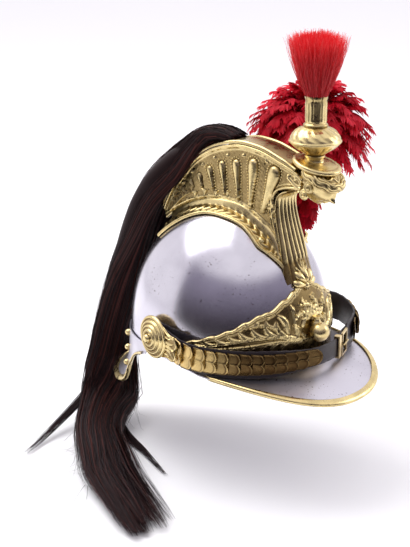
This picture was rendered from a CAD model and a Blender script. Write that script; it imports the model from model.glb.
import math

import bpy
import numpy as np
from mathutils import Matrix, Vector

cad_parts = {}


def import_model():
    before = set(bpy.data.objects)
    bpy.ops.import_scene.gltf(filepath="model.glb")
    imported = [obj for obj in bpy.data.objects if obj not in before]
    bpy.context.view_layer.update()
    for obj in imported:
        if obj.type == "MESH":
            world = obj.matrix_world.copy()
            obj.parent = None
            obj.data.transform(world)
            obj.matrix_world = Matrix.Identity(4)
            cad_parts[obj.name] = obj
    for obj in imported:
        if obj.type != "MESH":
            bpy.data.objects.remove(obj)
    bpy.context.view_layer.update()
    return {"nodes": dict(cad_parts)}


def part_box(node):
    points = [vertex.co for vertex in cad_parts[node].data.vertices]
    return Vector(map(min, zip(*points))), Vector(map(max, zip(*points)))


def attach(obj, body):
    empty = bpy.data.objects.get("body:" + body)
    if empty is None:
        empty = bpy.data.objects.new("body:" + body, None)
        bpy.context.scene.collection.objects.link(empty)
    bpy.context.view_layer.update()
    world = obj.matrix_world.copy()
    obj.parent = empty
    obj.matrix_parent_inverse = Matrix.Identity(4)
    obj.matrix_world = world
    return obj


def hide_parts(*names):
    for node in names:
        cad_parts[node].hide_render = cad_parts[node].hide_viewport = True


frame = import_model()

# Driving dimensions in millimetres
MM = 0.001
HALF_WIDTH, HALF_LENGTH, HEIGHT, LEAN = 101.0, 115.3, 137.0, 3.6
SHEET = 1.3
FINIAL_Y = -113.5
FLOOR_Z = -156.8
HAIR_FLOOR = -155.6
random = np.random.default_rng(7)


# Curves and tables
def unit(a):
    """a divided by its length."""
    return a / np.maximum(np.linalg.norm(a, axis=-1, keepdims=True), 1e-9)


def ease(x, low, high):
    """Smooth step: 3t^2 - 2t^3 with t = (x - low) / (high - low) held in 0..1."""
    t = np.clip((x - low) / (high - low), 0, 1)
    return t * t * (3 - 2 * t)


def lookup(table, x):
    """Value of a two-column table at x, eased between its rows."""
    table = np.array(table, float)
    x = np.asarray(x, float)
    i = np.clip(np.searchsorted(table[:, 0], x) - 1, 0, len(table) - 2)
    t = ease(x, table[i, 0], table[i + 1, 0])
    return table[i, 1] * (1 - t) + table[i + 1, 1] * t


def catmull(points, u):
    """Centripetal Catmull-Rom curve through the points at u in 0..1, its knots spaced evenly in u."""
    p = np.array(points, float)
    count = len(p) - 1
    p = np.vstack([2 * p[0] - p[1], p, 2 * p[-1] - p[-2]])
    f = np.clip(np.asarray(u, float), 0, 1) * count
    i = np.minimum(f.astype(int), count - 1)
    t = (f - i)[:, None]
    a, b, c, d = p[i], p[i + 1], p[i + 2], p[i + 3]
    d1, d2, d3 = (np.sqrt(np.linalg.norm(v, axis=1))[:, None] for v in (b - a, c - b, d - c))
    m1 = ((b - a) / d1 - (c - a) / (d1 + d2) + (c - b) / d2) * d2
    m2 = ((c - b) / d2 - (d - b) / (d2 + d3) + (d - c) / d3) * d2
    t2, t3 = t * t, t * t * t
    return b * (2 * t3 - 3 * t2 + 1) + m1 * (t3 - 2 * t2 + t) + c * (3 * t2 - 2 * t3) + m2 * (t3 - t2)


def along(points, count, smooth=True):
    """The curve through the points cut into steps of equal length."""
    p = catmull(points, np.linspace(0, 1, 40 * len(points))) if smooth else np.array(points, float)
    s = np.concatenate([[0], np.cumsum(np.linalg.norm(np.diff(p, axis=0), axis=1))])
    even = np.linspace(0, s[-1], count)
    return np.stack([np.interp(even, s, p[:, k]) for k in range(p.shape[1])], -1)


def grid(a, b, na, nb):
    """Two arrays of na by nb values: the first runs a[0]..a[1], the second b[0]..b[1]."""
    return np.meshgrid(np.linspace(*a, na), np.linspace(*b, nb), indexing="ij")


# Relief: heights drawn over a flat pair of coordinates
def field(p, q, path, widths):
    """For each (p, q) and a path with half widths: the round profile sqrt(1 - (d/w)^2), and d - w."""
    path = np.array(path, float)
    widths = np.broadcast_to(np.asarray(widths, float), len(path))
    best = np.full(p.shape, 1e9)
    profile = np.zeros(p.shape)
    for a, b, wa, wb in zip(path, path[1:], widths, widths[1:]):
        d = b - a
        long = max(float(np.hypot(*d)), 1e-6)
        t = np.clip(((p - a[0]) * d[0] + (q - a[1]) * d[1]) / long**2, 0, 1)
        away = np.hypot(p - a[0] - t * d[0], q - a[1] - t * d[1])
        w = wa + (wb - wa) * t
        best = np.minimum(best, away - w)
        profile = np.maximum(profile, np.sqrt(np.maximum(0, 1 - (away / np.maximum(w, 1e-3)) ** 2)))
    return profile, best


def ridges(p, q, strokes, height):
    """Largest of height * profile over the strokes, each a path and its half widths."""
    h = np.zeros(p.shape)
    for path, widths in strokes:
        h = np.maximum(h, field(p, q, path, widths)[0] * height)
    return h


def pearls(p, q, centres, radius, height):
    """Half balls: height * sqrt(1 - (d/radius)^2) about each centre."""
    h = np.zeros(p.shape)
    for a, b in centres:
        h = np.maximum(h, height * np.sqrt(np.maximum(0, 1 - ((p - a) ** 2 + (q - b) ** 2) / radius**2)))
    return h


def leaf(root, tip, bend, width):
    """Leaf stroke: a curve from root to tip that bows by bend, widest at a third of its length."""
    root, tip = np.array(root, float), np.array(tip, float)
    d = tip - root
    t = np.linspace(0, 1, 6)[:, None]
    path = root + d * t + np.array([-d[1], d[0]]) * bend * 4 * t * (1 - t)
    return path, width * np.interp(t[:, 0], [0, 0.3, 0.65, 1], [0.35, 1, 0.8, 0.12])


def frond(stem, count, length, turn, bend, width, side):
    """Leaf strokes that branch off a stem at the angle turn, shorter towards its end."""
    line = along(stem, count + 2)
    strokes = [(line, np.linspace(width * 0.75, width * 0.3, count + 2))]
    for k in range(1, count + 1):
        d = unit(line[min(k + 1, count + 1)] - line[k - 1])
        a = side * math.radians(turn)
        out = np.array([d[0] * math.cos(a) - d[1] * math.sin(a), d[0] * math.sin(a) + d[1] * math.cos(a)])
        reach = length * (1 - 0.55 * k / count)
        strokes.append(leaf(line[k], line[k] + out * reach, -side * bend, width * (1 - 0.4 * k / count)))
    return strokes


def spiral(centre, start, end, turns, phase, count=26):
    """Flat spiral round a centre, its radius from start to end, phase in degrees."""
    t = np.linspace(0, 1, count)
    a = np.radians(phase) + 2 * math.pi * turns * t
    r = start + (end - start) * t**0.8
    return np.stack([centre[0] + r * np.cos(a), centre[1] + r * np.sin(a)], -1)


def inset(path, distance):
    """A path moved sideways by a distance."""
    d = unit(np.gradient(np.array(path, float), axis=0))
    return np.array(path, float) + np.stack([d[:, 1], -d[:, 0]], -1) * distance


# Mesh building
def quads(n, m, closed):
    """Four-sided faces of an n by m grid of points, closed round its second way if asked."""
    i = np.arange(n * m).reshape(n, m)
    if closed:
        i = np.hstack([i, i[:, :1]])
    return np.stack([i[:-1, :-1], i[1:, :-1], i[1:, 1:], i[:-1, 1:]], -1).reshape(-1, 4)


class Piece:
    """Collects surfaces in millimetres and makes one object of them."""

    def __init__(self, name):
        self.name = name
        self.points, self.faces, self.caps, self.relief, self.shade = [], [], [], [], []
        self.count = 0

    def _add(self, points, faces, caps, relief, shade):
        """Keeps a surface under the running count of points, with relief and shade for each point."""
        points = np.asarray(points, float).reshape(-1, 3)
        self.points.append(points)
        self.faces.append(faces + self.count)
        self.caps.extend([[k + self.count for k in cap] for cap in caps])
        self.relief.append(np.broadcast_to(np.asarray(relief, float).reshape(-1), len(points)))
        self.shade.append(np.broadcast_to(np.asarray(shade, float).reshape(-1), len(points)))
        self.count += len(points)

    def rings(self, rings, relief=1.0, shade=0.0):
        """Closed skin over a row of closed rings, with a face over each end, turned to face outward."""
        rings = np.asarray(rings, float)
        n, m = rings.shape[:2]
        faces = quads(n, m, True)
        caps = [list(range(m - 1, -1, -1)), list(range((n - 1) * m, n * m))]
        p = rings.reshape(-1, 3)
        middle = p.mean(0)
        tri = np.vstack([faces[:, [0, 1, 2]], faces[:, [0, 2, 3]]])
        tri = np.vstack([tri] + [[[c[0], a, b] for a, b in zip(c[1:], c[2:])] for c in caps])
        a, b, c = (p[tri[:, k]] - middle for k in range(3))
        if np.sum(a * np.cross(b, c)) < 0:
            faces = faces[:, ::-1]
            caps = [c[::-1] for c in caps]
        self._add(p, faces, caps, relief, shade)
        return self

    def ribbons(self, paths, width, facing, relief=1.0, shade=0.0):
        """Flat strips: path point plus and minus side * width / 2, side the cross of path and facing."""
        n, m = paths.shape[:2]
        side = unit(np.cross(unit(np.gradient(paths, axis=1)), facing))
        half = np.broadcast_to(np.asarray(width, float), (n, m))[..., None] / 2
        p = np.stack([paths - side * half, paths + side * half], 2)
        one = quads(m, 2, False)
        faces = (one[None] + (np.arange(n) * m * 2)[:, None, None]).reshape(-1, 4)
        spread = np.broadcast_to(np.asarray(shade, float).reshape(-1, 1, 1), (n, m, 2))
        rise = np.broadcast_to(np.broadcast_to(np.asarray(relief, float), (n, m))[..., None], (n, m, 2))
        self._add(p, faces, [], rise, spread)
        return self

    def make(self, material, slot, *nodes, mirror=False):
        """Makes the object, with a copy mirrored in X joined to it if asked."""
        p = np.vstack(self.points)
        faces = np.vstack(self.faces)
        caps = list(self.caps)
        relief, shade = np.concatenate(self.relief), np.concatenate(self.shade)
        if mirror:
            n = len(p)
            faces = np.vstack([faces, faces[:, ::-1] + n])
            caps += [[k + n for k in cap[::-1]] for cap in caps]
            p = np.vstack([p, p * [-1, 1, 1]])
            relief, shade = np.tile(relief, 2), np.tile(shade, 2)
        mesh = bpy.data.meshes.new(self.name)
        mesh.from_pydata((p * MM).tolist(), [], faces.tolist() + caps)
        flat = np.ones(len(mesh.polygons), bool)
        flat[len(faces):] = False
        mesh.polygons.foreach_set("use_smooth", flat)
        for key, values in (("relief", relief), ("shade", shade)):
            mesh.attributes.new(key, "FLOAT", "POINT").data.foreach_set("value", values.astype(np.float32))
        mesh.set_sharp_from_angle(angle=math.radians(62))
        mesh.materials.append(material)
        mesh.update()
        thing = bpy.data.objects.new(self.name, mesh)
        bpy.context.scene.collection.objects.link(thing)
        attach(thing, "root")
        if nodes:
            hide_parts(*nodes)
        return thing


def tube(path, wide, thick, sides, up):
    """Rings path + side * wide * cos a + over * thick * sin a, side square to the path and to up."""
    path = np.asarray(path, float)
    n = len(path)
    go = unit(np.gradient(path, axis=0))
    side = unit(np.cross(go, np.broadcast_to(up, go.shape)))
    over = unit(np.cross(side, go))
    a = np.linspace(0, 2 * math.pi, sides, endpoint=False)
    w = np.broadcast_to(np.asarray(wide, float), n)[:, None, None]
    h = np.broadcast_to(np.asarray(thick, float), n)[:, None, None]
    return path[:, None] + side[:, None] * w * np.cos(a)[:, None] + over[:, None] * h * np.sin(a)[:, None]


def lathe(profile, sides, lobes=None):
    """Rings of radius r at height z for each profile row; lobes(angle, row share) adds to the radius."""
    profile = np.array(profile, float)
    a = np.linspace(0, 2 * math.pi, sides, endpoint=False)[None]
    t = np.linspace(0, 1, len(profile))[:, None]
    r = np.maximum(profile[:, :1] + (lobes(a, t) if lobes else 0) + 0 * a, 0.02)
    return np.stack([r * np.cos(a), r * np.sin(a), profile[:, 1:] + 0 * a], -1)


def placed(points, origin, x_axis, y_axis, z_axis):
    """origin + x * x_axis + y * y_axis + z * z_axis."""
    return np.asarray(origin, float) + points @ np.array([x_axis, y_axis, z_axis], float)


# Materials
class Shader:
    """Short ways to add nodes to a new material with a Principled surface, or to the tree given."""

    def __init__(self, name, tree=None):
        if tree:
            self.tree = tree
            return
        self.material = bpy.data.materials.new(name)
        self.material.use_nodes = True
        self.tree = self.material.node_tree
        self.surface = self.tree.nodes["Principled BSDF"]

    def node(self, kind, values=(), **settings):
        """Adds a node, sets its settings, and links or sets its inputs."""
        n = self.tree.nodes.new(kind)
        for key, value in settings.items():
            setattr(n, key, value)
        for key, value in dict(values).items():
            if isinstance(value, bpy.types.NodeSocket):
                self.tree.links.new(value, n.inputs[key])
            else:
                n.inputs[key].default_value = value
        return n

    def place(self, stretch=(1, 1, 1)):
        """Object coordinates times stretch."""
        here = self.node("ShaderNodeTexCoord").outputs["Object"]
        return self.node("ShaderNodeMapping", {"Vector": here, "Scale": stretch}).outputs["Vector"]

    def noise(self, scale, detail=3, stretch=(1, 1, 1)):
        """Noise value at the stretched object coordinates."""
        values = {"Vector": self.place(stretch), "Scale": scale, "Detail": detail}
        return self.node("ShaderNodeTexNoise", values).outputs["Fac"]

    def read(self, name):
        """Value of a point attribute, such as relief or shade."""
        return self.node("ShaderNodeAttribute", attribute_name=name).outputs["Fac"]

    def span(self, value, low, high, to_low=0.0, to_high=1.0):
        """Smooth step of a value in low..high to to_low..to_high."""
        values = {"Value": value, "From Min": low, "From Max": high, "To Min": to_low, "To Max": to_high}
        return self.node("ShaderNodeMapRange", values, interpolation_type="SMOOTHSTEP").outputs["Result"]

    def mix(self, share, a, b):
        """Colour between a and b by share."""
        n = self.node("ShaderNodeMix", {0: share, 6: a, 7: b}, data_type="RGBA")
        return n.outputs[2]

    def math(self, operation, a, b):
        """Result of one math operation."""
        return self.node("ShaderNodeMath", {0: a, 1: b}, operation=operation).outputs[0]

    def bump(self, height, strength, distance):
        """Normal tilted by a height value."""
        values = {"Height": height, "Strength": strength, "Distance": distance}
        return self.node("ShaderNodeBump", values).outputs["Normal"]

    def set(self, **values):
        """Links or sets inputs of the Principled surface and returns the material."""
        for key, value in values.items():
            socket = self.surface.inputs[key.replace("_", " ")]
            if isinstance(value, bpy.types.NodeSocket):
                self.tree.links.new(value, socket)
            else:
                socket.default_value = value
        return self.material


TARNISH = (0.13, 0.10, 0.09)


def steel(name, smooth, dull):
    """Lavender-grey steel with soft clouds and rust pits, its roughness from smooth to dull."""
    s = Shader(name)
    cloud = s.noise(14, 4)
    tone = s.mix(s.span(cloud, 0.35, 0.7), (0.66, 0.64, 0.70, 1), (0.52, 0.50, 0.56, 1))
    pits = s.math("MULTIPLY", s.span(s.noise(420, 2), 0.66, 0.72), s.span(s.noise(22, 2), 0.45, 0.6))
    tone = s.mix(pits, tone, (0.10, 0.055, 0.04, 1))
    rough = s.span(s.noise(26, 3), 0.3, 0.75, smooth, dull)
    return s.set(Base_Color=tone, Metallic=1.0, Roughness=rough,
                 Normal=s.bump(s.noise(900, 3, (1, 1, 0.15)), 0.06, 0.0004))


def brass(name, bright, dark, relief=True, rough=0.27):
    """Brass from dark in the hollows to bright by the relief value, tarnished by the shade value."""
    s = Shader(name)
    wear = s.span(s.noise(70, 5), 0.35, 0.7)
    tone = s.mix(wear, bright, tuple(c * 0.78 for c in bright[:3]) + (1,))
    if relief:
        tone = s.mix(s.span(s.read("relief"), 0.10, 0.90), dark, tone)
        brown = tuple(c * w for c, w in zip(bright, TARNISH)) + (1,)
        tone = s.mix(s.read("shade"), tone, s.mix(0.92, tone, brown))
    shine = s.span(s.noise(120, 4), 0.3, 0.8, rough - 0.05, rough + 0.14)
    grain = s.bump(s.noise(1100, 3), 0.16, 0.0004)
    return s.set(Base_Color=tone, Metallic=1.0, Roughness=shine, Normal=grain)


def leather():
    """Near-black leather with a fine grain."""
    s = Shader("leather")
    colour = (0.028, 0.019, 0.022, 1)
    tone = s.mix(s.noise(90, 4), colour, tuple(c * 0.6 for c in colour[:3]) + (1,))
    return s.set(Base_Color=tone, Roughness=0.42, Normal=s.bump(s.noise(700, 4), 0.5, 0.0006))


def hair(name, root, tip, odd, rough, sheen, glow=0.0):
    """Strand colour runs from root to tip by the relief value, with some strands of the odd colour."""
    s = Shader(name)
    tone = s.mix(s.read("relief"), root, tip)
    tone = s.mix(s.span(s.read("shade"), 0.45, 1.0), tone, odd)
    s.set(Base_Color=tone, Roughness=rough, Specular_IOR_Level=sheen)
    if glow:
        thin = s.node("ShaderNodeBsdfTranslucent", {"Color": tone}).outputs["BSDF"]
        sockets = {0: glow, 1: s.surface.outputs["BSDF"], 2: thin}
        both = s.node("ShaderNodeMixShader", sockets).outputs["Shader"]
        s.tree.links.new(both, s.tree.nodes["Material Output"].inputs["Surface"])
    return s.material


STEEL = steel("steel", 0.17, 0.22)
SHEET_STEEL = steel("sheet steel", 0.34, 0.42)
BRASS = brass("brass", (0.80, 0.64, 0.31, 1), (0.17, 0.105, 0.035, 1))
PLAIN_BRASS = brass("plain brass", (0.74, 0.57, 0.27, 1), (0.10, 0.058, 0.018, 1), relief=False)
DARK_BRASS = brass("dark brass", (0.70, 0.51, 0.21, 1), (0.050, 0.026, 0.012, 1), rough=0.28)
LEATHER = leather()
BLACK_HAIR = hair("black horsehair", (0.015, 0.006, 0.006, 1), (0.013, 0.006, 0.007, 1),
                  (0.090, 0.026, 0.021, 1), 0.5, 0.12)
RED_HAIR = hair("red horsehair", (0.40, 0.003, 0.008, 1), (0.92, 0.030, 0.040, 1),
                (0.98, 0.13, 0.13, 1), 0.5, 0.35, 0.35)
RED_FEATHER = hair("red feather", (0.34, 0.002, 0.010, 1), (0.82, 0.010, 0.036, 1),
                   (0.96, 0.06, 0.10, 1), 0.6, 0.15, 0.42)


# Steel skull
def on_skull(deg, z, off=0.0):
    """x = (a + off) r sin A, y = -lean z / h - (b + off) r cos A, r = sqrt(1 - (z / h)^2), 1 below z = 0."""
    deg, z = np.broadcast_arrays(np.asarray(deg, float), np.asarray(z, float))
    a = np.radians(deg)
    up = np.maximum(z, 0)
    r = np.sqrt(np.maximum(0, 1 - (up / (HEIGHT + off)) ** 2))
    x = (HALF_WIDTH + off) * r * np.sin(a)
    return np.stack([x, -LEAN * up / HEIGHT - (HALF_LENGTH + off) * r * np.cos(a), z], -1)


def skull_top(x, y, off=0.0):
    """Height of the skull over (x, y), found by eight rounds of the ellipsoid formula."""
    z = np.zeros(np.broadcast(x, y).shape)
    for _ in range(8):
        f = (x / (HALF_WIDTH + off)) ** 2 + ((y + LEAN * z / HEIGHT) / (HALF_LENGTH + off)) ** 2
        z = (HEIGHT + off) * np.sqrt(np.maximum(0, 1 - f))
    return z


SKULL_EDGE = [[0, -24], [60, -24], [85, -18], [104, -14], [120, -15], [140, -26], [180, -28]]


def skull():
    """Outer and inner ellipsoid 1.4 mm apart, joined along the cut lower edge."""
    turn = np.linspace(-180, 180, 168, endpoint=False)
    edge = lookup(SKULL_EDGE, np.abs(turn))
    rows = []
    for off, order in ((0.0, 1), (-1.4, -1)):
        rise = np.radians(np.linspace(89.6, 0, 42))
        side = [on_skull(turn, np.full(168, (HEIGHT + off) * math.sin(e)), off) for e in rise]
        side += [on_skull(turn, edge * t, off) for t in (0.33, 0.66, 1.0)]
        rows += side[::order]
    return Piece("skull_shell").rings(rows).make(STEEL, "steel", "skull")


# Visor and neck guard, sheets with a folded brass rim
RIM = [(-8.5, 0.4), (-8.5, 1.35), (-7.6, 1.75), (-4, 1.9), (-1.2, 1.5), (0, 0.2), (0.2, -0.65), (0, -1.5),
       (-1.2, -2.8), (-4, -3.1), (-7.6, -3.0), (-8.5, -2.6), (-8.5, -1.7), (-1.6, -1.6), (-1.6, 0.3)]


def normals(points):
    """Unit cross of the two directions of a grid of points."""
    return unit(np.cross(np.gradient(points, axis=1), np.gradient(points, axis=0)))


def sheet_and_rim(name, top, thickness, rim_from):
    """Sheet between the top grid and one below it by its normal, with the rim section along its end."""
    normal = normals(top)
    low = top - normal * thickness
    Piece(name + "_sheet").rings(np.concatenate([top, low[:, ::-1]], 1)).make(SHEET_STEEL, "steel", name)
    edge = top[rim_from:len(top) - rim_from]
    facing = normal[rim_from:len(top) - rim_from, -1]
    out = unit(edge[:, -1] - edge[:, -4])
    section = np.array(RIM)
    start = (edge[
        :, -1,
    ] + out * 1.4)[:, None]
    rings = start + out[:, None] * section[:, :1] + facing[:, None] * section[:, 1:]
    Piece(name + "_brass_strip").rings(rings).make(BRASS, "brass", name + "_rim")


VISOR = {"half_width": 104, "back": -46.8, "reach": 132.2, "z": -21.4, "drop": 22, "bulge": 3}


def visor():
    """Lines from the brow to the edge x = half s^0.9, y = back - reach c^0.9, z - drop c^2.2, bulged up."""
    a, t = grid((-90, 90), (0, 1), 150, 26)
    s, c = np.sin(np.radians(a)), np.maximum(0, np.cos(np.radians(a)))
    root = on_skull(a * 77 / 90, np.full(a.shape, VISOR["z"]), 0.4)
    x = VISOR["half_width"] * np.sign(s) * np.abs(s) ** 0.9
    edge = np.stack([x, VISOR["back"] - VISOR["reach"] * c**0.9, VISOR["z"] - VISOR["drop"] * c**2.2], -1)
    span = np.linalg.norm(edge - root, axis=-1)
    t = t * (1 - 1.4 / span)
    top = root + (edge - root) * t[..., None]
    top[..., 2] += VISOR["bulge"] * (span / 64) ** 2 * 4 * t * (1 - t)
    sheet_and_rim("visor", top, SHEET, 5)


LIP = [
    # degrees from the front, then x, y and z of the lip
    [106, -96, 36, -21], [119, -84, 64, -33], [128, -76, 80, -52], [138, -70, 94, -74],
    [150, -58, 118, -85], [162, -40, 142, -86], [172, -20, 156, -83], [180, 0, 161, -81],
]
LIP_ROW = LIP + [[360 - a, -x, y, z] for a, x, y, z in LIP[-2::-1]]


def guard_surface(s, t):
    """Quadratic curve from the collar to the lip at share t, both curves read at share s."""
    flat = s.ravel()
    top = catmull([on_skull(-row[0], -8.5, 1.0) for row in LIP_ROW], flat).reshape(s.shape + (3,))
    lip = catmull([row[1:] for row in LIP_ROW], flat).reshape(s.shape + (3,))
    mid = top.copy()
    mid[..., 2] = top[..., 2] + (lip[..., 2] - top[..., 2]) * 0.66
    t = t[..., None]
    return top * (1 - t) ** 2 + mid * 2 * t * (1 - t) + lip * t * t


def neck_guard():
    """Sheet outside the guard surface, its brass rim, and three domed rivets on each side."""
    s, t = grid((0, 1), (0, 0.985), 170, 30)
    inner = guard_surface(s, t)
    if normals(inner)[85, 10, 1] < 0:
        inner = inner[::-1]
    sheet_and_rim("neck_guard", inner + normals(inner) * SHEET, SHEET, 4)
    rivets = Piece("guard_rivets")
    for side in ("right", "left"):
        for k in (1, 2, 3):
            low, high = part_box(f"rivet_{side}_{k}")
            centre = (np.array(low) + np.array(high)) / 2 / MM
            out = unit(np.array([centre[0], centre[1] * 0.12, -12.0]))
            go = unit(np.cross(out, [0, 0, 1.0]))
            head = lathe([[0.02, -1.6], [3.8, -1.6], [3.7, 0], [3.0, 1.8], [1.8, 2.7], [0.02, 3.1]], 24)
            rivets.rings(placed(head, centre - out * 1.0, go, np.cross(out, go), out))
    rivets.make(BRASS, "brass", *[f"rivet_{s}_{k}" for s in ("right", "left") for k in (1, 2, 3)])


# Brass front plate
PLATE_TOP = [
    # degrees from the front, height of the outline
    [0, 71.5], [6, 68], [11, 63], [19, 56], [31, 45.5], [36, 43], [44, 36], [53, 27], [62, 20],
    [72, 13], [80, 8],
]
PER_DEGREE = 1.87


def front_plate():
    """Band on the brow from z = -20.6 up to its outline, raised by leaf, flame, pearl and edge strokes."""
    a, t = grid((-80, 80), (0, 1), 341, 72)
    top = lookup(PLATE_TOP, np.abs(a))
    z = -20.6 + (top + 20.6) * t
    x = np.abs(a) * PER_DEGREE
    outline = np.array([[d * PER_DEGREE, lookup(PLATE_TOP, d)] for d in np.linspace(0, 80, 60)])
    outline = np.vstack([[-8, 69], outline])
    h = 1.6 * field(x, z, inset(outline, 1.6), 1.8)[0]
    h = np.maximum(h, 0.8 * field(x, z, inset(outline, 5.0), 0.8)[0])
    low_edge = [[-5, 11.5], [40, 12], [90, 8], [150, 4]]
    h = np.maximum(h, 0.7 * field(x, z, low_edge, 0.9)[0])
    leaves = frond([[20, 12], [48, 19], [78, 18], [108, 12], [140, 5]], 8, 27, 36, 0.22, 3.7, 1)
    leaves += frond([[22, 11], [50, 13], [90, 9], [132, 3]], 8, 15, 40, 0.2, 2.6, -1)
    leaves += frond([[40, 20], [56, 31], [76, 32], [98, 25]], 5, 10, 46, 0.25, 2.2, 1)
    leaves += [leaf([24, 15], [31, 50], 0.10, 5.2), leaf([36, 22], [49, 42], 0.16, 3.8)]
    leaves.append(leaf([15, 14], [21, 24], 0.2, 2.6))
    h = np.maximum(h, ridges(x, z, leaves, 2.1))
    veins = ridges(x, z, [(path, 0.55 + 0 * width) for path, width in leaves], 1.0)
    h = h - 0.9 * veins * (h > 0.9)
    flames = []
    for k, turn in enumerate(range(-105, 106, 15)):
        long = (30, 22, 27)[k % 3]
        u = np.linspace(0, 1, 9)
        sway = np.radians(turn) + 0.34 * np.sin(6.5 * u + 2 * k)
        path = np.stack([long * u * np.sin(sway), 34 + long * u * np.cos(sway) * 0.72], -1)
        flames.append((path, 1.9 * (1 - u) ** 0.7 + 0.4))
    signed = a * PER_DEGREE
    near = np.maximum(0, 1 - (signed / 27) ** 2 - ((z - 37) / 24) ** 2)
    h = h * (near < 0.02) - 0.5 * ease(near, 0, 0.1)
    h = np.maximum(h, ridges(signed, z, flames, 3.1))
    h = np.maximum(h, pearls(x, z, [(22, 58), (33, 17), (39.5, 28), (58, 40), (70, 35), (14, 12)], 1.7, 2.0))
    mark = np.clip(0.30 + h / 2.3 - 0.5 * veins * (near < 0.02), 0, 1)
    front = np.stack([plate_row(a[i], z[i], h[i])
                      for i in range(len(a))])
    back = np.stack([on_skull(a[i, ::-14], z[i, ::-14], 0.8) for i in range(len(a))])
    piece = Piece("brow_plate")
    piece.rings(np.concatenate([front, back], 1), np.concatenate([mark, np.ones(back.shape[:2])], 1))
    rise = np.radians(np.linspace(-89, 89, 26))
    ball = lathe(np.stack([10.6 * np.cos(rise), 10.6 * np.sin(rise)], -1), 48)
    piece.rings(ball + [0, -125.2, 18])
    collar = lathe([
        [0.1, -4], [5.6, -4], [5.9, -2.5], [5.0, -1], [3.6, 1.5], [3.4, 3.2], [4.3, 4.2], [4.2, 5],
        [0.1, 5],
    ], 32)
    piece.rings(collar + [0, -121, 29.5], shade=0.2)
    piece.make(BRASS, "brass", "front_plate")


def plate_row(a, z, h):
    """Skull point moved out by 1.9 + h along the level outward direction."""
    p = on_skull(a, z, 1.9)
    out = unit(p * [1, 1, 0.35])
    return p + out * h[:, None]


# Brass crest
UPPER = [
    # y and z along the top edge of the crest side, from the back
    [84, 119], [79.8, 128.5], [68.2, 148.9], [54.4, 164.9], [40.7, 179.2], [24.9, 190], [8.4, 198.3],
    [-7.8, 203.3], [-27.7, 206.9], [-44, 206.3], [-58.2, 204.2], [-82, 196.7], [-100.8, 190],
    [-111, 183.5], [-113.5, 176],
]
BASE = [
    # y and z along its foot
    [78, 107], [66.7, 115.6], [45.2, 128], [28.2, 134.6], [11.5, 138.6], [-4.9, 140.4], [-21.2, 140.2],
    [-37.2, 136.8], [-45.3, 131.8], [-60.5, 124], [-71.4, 116.5], [-79.7, 105], [-85.1, 82.5],
]
FRONT = [
    # y and z along the hollow front under the mask
    [-90.5, 84], [-86, 98.6], [-79, 118.9], [-73.5, 139.4], [-72, 150.5], [-74.5, 160.5], [-80, 165.5],
    [-88, 168.5], [-97, 170], [-108, 170.5],
]
SPANS = [
    # low y, low z, high y, high z
    [78, 107, 84, 119], [72, 111.5, 79.8, 128.5], [66.7, 115.6, 72, 142], [45.2, 128, 54.4, 164.9],
    [28.2, 134.6, 33, 184.8], [11.5, 138.6, 14, 196], [-4.9, 140.4, -6, 202.8],
    [-21.2, 140.2, -24, 206.4], [-37.2, 136.8, -36, 206.8], [-45.3, 131.8, -43, 206.4],
    [-60.5, 124, -50, 205.5], [-71.4, 116.5, -54, 204.9], [-79.7, 105, -57, 204.4],
    [-85.1, 82.5, -60, 203.7], [-90.5, 84, -62, 203.1], [-86, 98.6, -64, 202.5],
    [-79, 118.9, -68, 201.3], [-73.5, 139.4, -73, 199.7], [-72, 150.5, -78, 198.1],
    [-74.5, 160.5, -84, 196], [-80, 165.5, -90, 193.9], [-88, 168.5, -97, 191.4], [-97, 170, -104, 188],
    [-108, 170.5, -111, 183.5],
]
GADROONS = [
    # head y, head z, tail y, tail z, radius
    [-74.8, 184.4, -60, 139.8, 7.3], [-45.9, 188.6, -43, 140.7, 6.0], [-22.2, 185.2, -26.8, 147.6, 4.7],
    [-2.2, 181, -8, 149.7, 4.2], [15.6, 173.2, 8.5, 151, 3.7], [30.5, 163.7, 25.6, 151.5, 3.1],
    [43.7, 155.6, 38.7, 149.7, 2.6], [55, 144.5, 51.3, 140.7, 2.2],
]
UPPER_PEARLS = [(-63.3, 194.7), (-32.1, 195.5), (-10, 192), (8.6, 186.3), (25.6, 176.4), (41, 166),
                (54, 152), (-92.6, 183.7)]
LOWER_PEARLS = [(16.9, 143), (1.1, 145.5), (-13.1, 146), (-29, 144.7), (33, 140), (48, 134)]
SCROLL = [(-92.7, 181.6), (-99.3, 176.5), (-105.9, 172.4), (-111.4, 172.5), (-114.4, 177.5), (-112.8, 184.7),
          (-107.2, 187.9), (-102.3, 185.8), (-101, 181)]


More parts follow.
